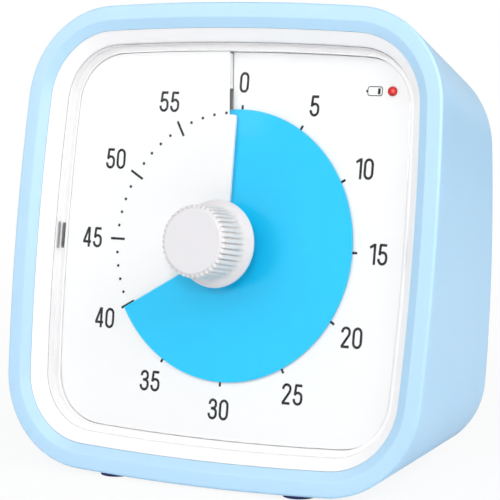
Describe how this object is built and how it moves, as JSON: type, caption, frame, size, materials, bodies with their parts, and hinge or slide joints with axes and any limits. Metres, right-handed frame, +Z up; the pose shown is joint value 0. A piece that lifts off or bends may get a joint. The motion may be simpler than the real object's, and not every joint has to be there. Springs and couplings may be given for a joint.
{
  "type": "visual countdown timer",
  "caption": "Desk countdown timer: leaning wedge case with round corners, numbered dial, coloured disc that winds out of a slit, and a ridged centre knob.",
  "frame": {"origin": "on the ground under the middle of the timer", "axes": "+Z up, the dial faces -Y and leans back, +X to the right of someone who reads the dial"},
  "size_m": [0.112, 0.062, 0.1107],
  "materials": {
    "blue_case": "satin",
    "white_dial": "matte",
    "white_knob": "satin",
    "clear": "clear moulded plastic",
    "blue_disc": "satin",
    "natural_plastic": "unpainted",
    "steel": "bright",
    "brass": "turned",
    "board_green": "lacquered",
    "black_plastic": "moulded",
    "red_lens": "translucent lens",
    "cell_wrap": "plain sleeve",
    "foot_rubber": "matte"
  },
  "bodies": {
    "case": {"case_shell": "blue_case", "dial_frame": "white_dial", "clear_cover": "clear", "dial_plate": "white_dial", "spindle_bush": "brass", "motor_can": "steel", "chassis": "natural_plastic", "gear_cover": "natural_plastic", "circuit_board": "board_green", "sounder": "black_plastic", "indicator_lamp": "red_lens", "rear_cover": "blue_case", "battery_cell": "cell_wrap", "cell_spring": "steel", "cell_plate": "steel", "switch_body": "black_plastic", "rear_screws": "steel", "chassis_screws": "steel", "front_feet": "foot_rubber", "rear_feet": "foot_rubber"},
    "turner": {"knob": "white_knob", "spindle": "steel", "spindle_wheel": "natural_plastic", "clutch_spring": "steel", "clutch_clip": "steel"},
    "disc": {"colour_disc": "blue_disc", "disc_hub": "natural_plastic"},
    "pinion": {"motor_shaft": "steel", "motor_pinion": "brass"},
    "door": {"battery_door": "blue_case"},
    "switch": {"switch_slider": "white_knob"}
  },
  "joints": [
    {"name": "knob_turn", "type": "hinge", "parent": "case", "child": "turner", "pos_m": [0, -0.0135, 0.0545], "axis": [0, 0.9854, -0.1705], "range_deg": [-240, 120]},
    {"name": "disc_thread", "type": "slide", "parent": "turner", "child": "disc", "axis": [0, 0.9854, -0.1705], "range_m": [-0.0006, 0.00121]},
    {"name": "pinion_spin", "type": "hinge", "parent": "case", "child": "pinion", "pos_m": [-0.01273, -0.00108, 0.06527], "axis": [0, 0.9854, -0.1705], "range_deg": [-600, 1200]},
    {"name": "door_hinge", "type": "hinge", "parent": "case", "child": "door", "pos_m": [0, 0.02954, 0.0219], "axis": [-1, 0, 0], "range_deg": [0, 95]},
    {"name": "switch_slide", "type": "slide", "parent": "case", "child": "switch", "axis": [1, 0, 0], "range_m": [0, 0.006]}
  ],
  "couplings": [
    {"joint": "disc_thread", "follows": "knob_turn", "m_per_rad": -0.00028807},
    {"joint": "pinion_spin", "follows": "knob_turn", "ratio": -5}
  ]
}
